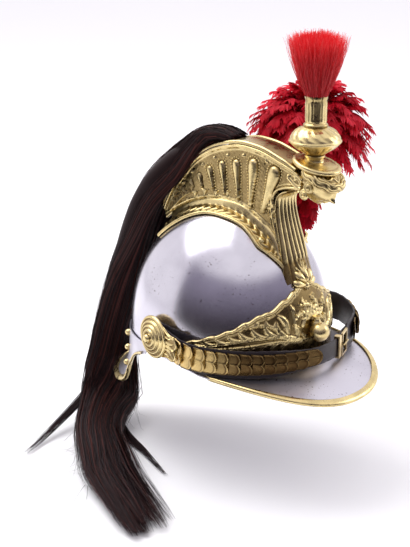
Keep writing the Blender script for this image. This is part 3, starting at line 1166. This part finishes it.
def plume():
    """Round bush, shaft = centre + way * (0.2 + 0.85 t^0.9) - z * droop t^2.2, over a hanging skirt."""
    right = np.array([0.669, -0.743, 0])
    away = np.array([0.743, 0.669, 0])
    n, m = BUSH["feathers"], 40
    k = np.arange(n) + 0.5
    rise = 1 - 1.52 * k / n
    turn = k * math.pi * (3 - math.sqrt(5)) + random.uniform(-0.2, 0.2, n)
    flat = np.sqrt(np.maximum(0, 1 - rise**2))
    way = right * (np.cos(turn) * flat * BUSH["across"])[:, None]
    way = way + away * (np.sin(turn) * flat * BUSH["deep"])[:, None]
    way = way + np.array([0, 0, 1.0]) * (rise * BUSH["tall"])[:, None]
    way = way * random.uniform(0.9, 1.04, (n, 1))
    t = np.linspace(0.02, 1, m)[None, :, None]
    shaft = np.array(BUSH["centre"], float) + way[:, None] * (0.2 + 0.85 * t**0.9)
    bend = np.array([0, 0, 1.0]) * (random.uniform(10, 20, n) * (0.45 + 0.55 * flat))[:, None, None]
    lift = np.array([0, 0, 1.0]) * (10 * flat)[:, None, None] * np.sin(math.pi * t) * 0.8
    shaft = shaft - bend * t**2.2 + lift
    width = 15.0 * np.sin(math.pi * (0.14 + 0.80 * t[..., 0])) ** 0.6 * random.uniform(0.8, 1.1, (n, 1))
    piece = Piece("plume_feathers")
    light = (0.15 + 0.85 * t[..., 0] ** 1.3) * np.ones((n, 1)) * random.uniform(0.7, 1.0, (n, 1))
    barbs_of(piece, shaft, width, light, random.uniform(0, 0.8, n))
    n = 26
    drop = np.linspace(60, 2, n)
    turn = np.arange(n) * 2.4
    go = right * np.cos(turn)[:, None] + away * np.sin(turn)[:, None]
    root = np.stack([82 + 0 * drop, -40 + 0 * drop, 112 + drop], -1)
    reach = 8 + 0.30 * drop
    shaft = root[:, None] + go[:, None] * reach[:, None, None] * t[..., :1] ** 0.7
    shaft[..., 2] -= (18 + 0.1 * drop[:, None]) * t[..., 0] ** 1.8
    width = 8.5 * np.sin(math.pi * (0.14 + 0.80 * t[..., 0])) ** 0.6 * np.ones((n, 1))
    barbs_of(piece, shaft, width, (0.2 + 0.6 * t[..., 0]) * np.ones((n, 1)), random.uniform(0, 0.5, n))
    rise, turn = grid((-88, 88), (0, 360), 30, 37)
    rise, turn = np.radians(rise[:, :-1]), np.radians(turn[:, :-1])
    core = np.array(BUSH["centre"], float) + 0.62 * (
        right * (np.cos(turn) * np.cos(rise) * BUSH["across"])[..., None]
        + away * (np.sin(turn) * np.cos(rise) * BUSH["deep"])[..., None]
        + np.array([0, 0, 1.0]) * (np.sin(rise) * BUSH["tall"])[..., None])
    piece.rings(keep_clear(core), 0.1, 0.0)
    axis = unit(TOP - FOOT)
    line = along([FOOT + axis * 8, TOP + axis * 2, [83, -34, 108], [81, -41, 150], [80, -43, 190]], 50)
    size = np.interp(np.linspace(0, 1, 50), [0, 0.42, 0.55, 0.8, 1], [4.2, 4.2, 8, 15, 18])
    piece.rings(keep_clear(tube(line, size, size, 24, [0, 1.0, 0])), 0.1, 0.0)
    piece.make(RED_FEATHER, "red_feather", "plume")


# Mane of black horsehair
MANE = np.array([
    # x, y, z, half width, half height
    [0, -14, 209, 15, 5], [0, 8, 211, 18, 9], [-1, 32, 203, 20, 14], [-6, 65, 176, 25, 17],
    [-10, 92, 147, 31, 20], [-11, 112, 117, 33, 20], [-12, 135, 62, 32, 21], [-12, 152, 5, 35, 21],
    [-10, 168, -41, 38, 20], [-10, 178, -85, 40, 19], [-22, 168, -122, 40, 17],
    [-55, 149, -137, 32, 16], [-91, 120, -141, 29, 14], [-122, 80, -143, 31, 12],
    [-154, 38, -145, 33, 10], [-184, -18, -147, 31, 8], [-208, -62, -149, 29, 6.5],
    [-222, -88, -150, 24, 5],
])


def mane_frame(t):
    """Centre, side, up and half sizes of the mane at shares t of its path."""
    t = np.asarray(t, float)
    flat = t.ravel()
    p = catmull(MANE[:, :3], flat).reshape(t.shape + (3,))
    before, after = (catmull(MANE[:, :3], np.clip(flat + step, 0, 1)) for step in (-0.004, 0.004))
    go = unit(after - before).reshape(t.shape + (3,))
    turn = ease(t, 0.5, 0.66)[..., None]
    side = np.array([1.0, 0, 0]) * (1 - turn) + np.array([0.77, -0.62, 0]) * turn
    side = unit(side - go * np.sum(side * go, -1, keepdims=True))
    up = np.cross(side, go)
    i = np.arange(len(MANE)) / (len(MANE) - 1)
    return p, side, up, np.interp(t, i, MANE[:, 3]), np.interp(t, i, MANE[:, 4])


def off_the_helmet(p, gap):
    """Moves hair points out of the skull, up off the crest, back off the neck guard and up off the table."""
    x, y, z = p[..., 0], p[..., 1], p[..., 2]
    f = (x / (HALF_WIDTH + gap)) ** 2 + ((y + LEAN) / (HALF_LENGTH + gap)) ** 2
    f = f + (np.maximum(z, 0) / (HEIGHT + gap)) ** 2
    f = np.where(z > -30, f, 2)
    grow = np.where(f < 1, 1 / np.sqrt(np.maximum(f, 0.2)), 1)
    x, y, z = x * grow, y * grow, np.where(z > 0, z * grow, z)
    order = np.array(UPPER)[::-1]
    ridge = np.interp(y, order[:, 0], order[:, 1]) + 3.0
    inside = (np.abs(x) < 18.5) & (y < 84) & (z > 105)
    z = np.where(inside, np.maximum(z, ridge), z)
    x = np.where((np.abs(x) < 22) & (y < 84) & (z < ridge) & (z > 105) & ~inside, np.sign(x) * 22, x)
    lip = np.interp(np.abs(x), [0, 20, 40, 58, 70, 84], [161, 156, 142, 118, 94, 64])
    dome = HALF_LENGTH * np.sqrt(np.maximum(0, 1 - (x / HALF_WIDTH) ** 2))
    dome = dome * np.sqrt(np.maximum(0, 1 - (np.maximum(z, 0) / HEIGHT) ** 2))
    wall = dome + (lip - dome) * ease(-z, 4, 76) ** 1.3 + (3 + gap) * ease(-z, -50, 0)
    wall = wall * ease(z, -128, -96) + (y - 1) * (1 - ease(z, -128, -96))
    y = np.where((z < 50) & (np.abs(x) < 84) & (y > 20), np.maximum(y, wall), y)
    return np.stack([x, y, np.maximum(z, HAIR_FLOOR)], -1)


MANE_STRANDS, MANE_LOCKS = 5400, 40


def mane():
    """Strands in locks: centre + side a w + up b h, a and b drawn to the lock's middle towards the tip."""
    n, steps, locks = MANE_STRANDS, 25, MANE_LOCKS
    lock = random.integers(0, locks, n)
    spot = random.uniform(0, 2 * math.pi, locks)
    out = np.sqrt(random.uniform(0.02, 1, locks))
    lock_a, lock_b = out * np.cos(spot), out * np.sin(spot)
    turn, far = random.uniform(0, 2 * math.pi, n), np.sqrt(random.uniform(0, 1, n))
    a0, b0 = far * np.cos(turn), far * np.sin(turn)
    first = random.uniform(0, 0.14, n)
    last = 0.98 - 0.24 * random.uniform(0, 1, locks)[lock] ** 1.5 - 0.12 * random.uniform(0, 1, n) ** 2
    for name, part in (("mane_strands_outer", slice(0, n // 2)), ("mane_strands_inner", slice(n // 2, n))):
        k = np.arange(n)[part]
        t = first[k, None] + (last[k] - first[k])[:, None] * np.linspace(0, 1, steps)[None]
        p, side, up, w, h = mane_frame(t)
        pull = 0.08 + 0.25 * t * t + 0.50 * ease(t, 0.66, 1.0)
        a = a0[k, None] * (1 - pull) + lock_a[lock[k], None] * pull
        b = b0[k, None] * (1 - pull) + lock_b[lock[k], None] * pull
        a = a + 0.03 * np.sin(7 * t + lock[k, None]) + 0.02 * np.sin(19 * t + 7 * turn[k, None])
        b = b + 0.03 * np.cos(6 * t + 2 * lock[k, None])
        fan = 1 + 0.35 * np.maximum(t - 0.6, 0) * 2.5 * np.sin(lock[k, None])
        drape = 24 * a**2 * ease(t, 0.09, 0.2) * (1 - ease(t, 0.30, 0.42))
        p = p + side * (a * w * fan)[..., None] + up * (b * h - drape)[..., None]
        p = off_the_helmet(p, 1.5)
        stray = 0.35 * random.standard_normal((len(k), 1, 3))
        facing = unit(side * a[..., None] + up * b[..., None] + stray)
        taper = np.minimum(1, 0.25 + 5 * (1 - np.linspace(0, 1, steps)))[None]
        thin = 0.72 * taper * random.uniform(0.7, 1.2, (len(k), 1))
        piece = Piece(name)
        piece.ribbons(p, thin, facing, t, random.uniform(0, 1, len(k)) ** 1.6)
        if part.start == 0:
            wisps(piece)
            loose_locks(piece)
            u = np.linspace(0.03, 0.9, 90)
            c, side, up, w, h = mane_frame(u)
            ring = np.linspace(0, 2 * math.pi, 28, endpoint=False)
            size = np.minimum(1, 6 * (u - 0.01)) * np.minimum(1, 5 * (0.94 - u)) * 0.78
            core = c[:, None] + side[:, None] * (w * size)[:, None, None] * np.cos(ring)[:, None]
            core = core + up[:, None] * (h * size)[:, None, None] * np.sin(ring)[:, None]
            piece.rings(off_the_helmet(core, 2.0), 0.0, 0.0)
        piece.make(BLACK_HAIR, "black_horsehair", *(("mane",) if part.start == 0 else ()))


LOOSE_LOCKS = [
    [[-30, 186, -116], [-72, 182, -134], [-128, 172, -150], [-170, 158, -153]],
    [[-40, 152, -128], [-52, 120, -150], [-74, 62, -153], [-100, 4, -154]],
]


def loose_locks(piece):
    """Two thin locks that leave the mane: path + side * a * w(t) + z * b * h(t), w from 7 mm down to 1."""
    n, steps = 110, 16
    even = np.linspace(0, 1, 60)
    for path in LOOSE_LOCKS:
        line = along(path, 60)
        side = unit(np.cross(np.gradient(line, axis=0), [0, 0, 1.0]))
        t = random.uniform(0.5, 1.0, (n, 1)) * np.linspace(0, 1, steps)[None]
        p = np.stack([np.interp(t, even, line[:, k]) for k in range(3)], -1)
        beside = np.stack([np.interp(t, even, side[:, k]) for k in range(3)], -1)
        own = random.uniform(-1, 1, (n, 2))
        wide = own[:, :1] * (5.5 * (1 - t) ** 0.8 + 1.6) + 3.5 * own[:, 1:] * t**3
        p = p + beside * wide[..., None]
        p[..., 2] += own[:, 1:] * (3 * (1 - t) + 0.5)
        p[..., 2] = np.maximum(p[..., 2], HAIR_FLOOR)
        facing = np.array([-0.7, -0.4, 0.6]) + 0.4 * random.standard_normal((n, 1, 3))
        piece.ribbons(p, 0.6 - 0.35 * np.linspace(0, 1, steps), unit(facing), 0.6, random.uniform(0, 0.7, n))


def wisps(piece):
    """Loose hairs that leave the mane along its lower length and arc out to the table."""
    n, steps = 150, 14
    start = random.uniform(0.45, 0.85, n)
    p, side, up, w, h = mane_frame(start)
    p = p + side * (w * random.uniform(-1, 1, n))[:, None] + up * (h * random.uniform(-0.5, 1, n))[:, None]
    low = off_the_helmet(p, 1.5)
    drift = [random.uniform(least, most, n) for least, most in ((-1, 0.2), (-1, 0.6), (-0.9, -0.1))]
    drift = unit(np.stack(drift, -1))
    u = np.linspace(0, 1, steps)[None, :, None]
    long = random.uniform(15, 48, n)[:, None, None]
    path = low[:, None] + drift[:, None] * long * u
    path[..., 2] -= (long[..., 0] * 0.35) * u[..., 0] ** 2
    path = off_the_helmet(path, 1.5)
    path[..., 1] = np.minimum(path[..., 1], 203)
    path[..., 0] = np.maximum(path[..., 0], -228)
    piece.ribbons(path, 0.45 - 0.3 * u[..., 0], np.array([0, 0, 1.0]), 0.5, random.uniform(0, 0.7, n))


def finish_cad_nodes():
    """Buckle parts stay as built, with a small bevel and the brass finish."""
    for name in ("buckle_frame", "buckle_prong", "strap_keeper"):
        node = frame["nodes"][name]
        node.data.materials.clear()
        node.data.materials.append(PLAIN_BRASS)
        bevel = node.modifiers.new("soft edges", "BEVEL")
        bevel.width = 0.0004
        bevel.segments = 2


skull()
visor()
neck_guard()
front_plate()
crest_sides()
crest_top()
crest_column()
mask()
finial()
hair_tuft()
straps()
scales()
rosettes()
plume_holder()
plume()
mane()
finish_cad_nodes()


# Table, light and camera
def table():
    """White floor under the mane, with its near edge 0.6 m before the helmet."""
    mesh = bpy.data.meshes.new("table")
    across, ahead = np.array([0.6691, -0.7431]), np.array([-0.7431, -0.6691])
    corners = [across * a + ahead * b for a, b in ((-14, 0.6), (14, 0.6), (14, -14), (-14, -14))]
    mesh.from_pydata([(x, y, FLOOR_Z * MM) for x, y in corners], [], [(0, 1, 2, 3)])
    s = Shader("table white")
    mesh.materials.append(s.set(Base_Color=(0.97, 0.97, 0.975, 1), Roughness=0.9, Specular_IOR_Level=0.2))
    floor = bpy.data.objects.new("table", mesh)
    bpy.context.scene.collection.objects.link(floor)


ROOM_TURN, ROOM_HALF = 0.84, 1.33


def world():
    """White tent whose front, towards the viewer's side and up to about 38 degrees, opens on a dark room."""
    w = bpy.data.worlds.new("tent")
    bpy.context.scene.world = w
    w.use_nodes = True
    tree = w.node_tree
    tree.nodes.clear()
    s = Shader("tent", tree)
    way = s.node("ShaderNodeTexCoord").outputs["Generated"]
    split = s.node("ShaderNodeSeparateXYZ", {0: way}).outputs
    turn = s.math("ARCTAN2", split[0], s.math("MULTIPLY", split[1], -1.0))
    wide = s.math("ABSOLUTE", s.math("ADD", turn, ROOM_TURN), 0.0)
    beside = s.span(wide, ROOM_HALF - 0.04, ROOM_HALF + 0.04, 1, 0)
    dark = s.math("MULTIPLY", beside, s.span(split[2], 0.50, 0.66, 1, 0))
    room = s.mix(s.span(split[2], -0.1, 0.5), (0.035, 0.028, 0.034, 1), (0.34, 0.31, 0.40, 1))
    tone = s.mix(dark, (1.08, 1.05, 1.10, 1), room)
    seen = s.node("ShaderNodeLightPath").outputs["Is Camera Ray"]
    tone = s.mix(seen, tone, (1.0, 1.0, 1.0, 1))
    glow = s.node("ShaderNodeBackground", {"Color": tone, "Strength": 1.0}).outputs[0]
    tree.links.new(glow, s.node("ShaderNodeOutputWorld").inputs["Surface"])


def lamp(name, place, aim, size, power, colour=(1, 1, 1)):
    """Square area lamp at a place in metres, turned towards its aim."""
    data = bpy.data.lights.new(name, "AREA")
    data.shape = "SQUARE"
    data.size = size
    data.energy = power
    data.color = colour
    light = bpy.data.objects.new(name, data)
    way = np.array(place, float) - np.array(aim, float)
    z = unit(way)
    x = unit(np.cross([0, 0, 1.0], z))
    y = np.cross(z, x)
    light.matrix_world = Matrix([[x[k], y[k], z[k], place[k]] for k in range(3)] + [[0, 0, 0, 1]])
    bpy.context.scene.collection.objects.link(light)


def camera():
    """Long lens from the front right, a little above."""
    data = bpy.data.cameras.new("camera")
    data.sensor_width = 36
    data.lens = 95.0
    data.clip_end = 60
    right, up, back = (0.6691, -0.7431, 0), (0.2309, 0.2079, 0.9505), (-0.7064, -0.6360, 0.3107)
    place = (-1.1364, -0.9866, 0.5467)
    view = bpy.data.objects.new("camera", data)
    view.matrix_world = Matrix([[right[k], up[k], back[k], place[k]] for k in range(3)] + [[0, 0, 0, 1]])
    bpy.context.scene.collection.objects.link(view)
    bpy.context.scene.camera = view


table()
world()
lamp("overhead", (-0.3, 0.9, 1.7), (0, 0.2, 0), 1.6, 26)
lamp("front", (1.5, -1.1, 0.9), (0, 0, 0.1), 0.8, 7)
camera()
bpy.context.scene.view_settings.view_transform = "Standard"
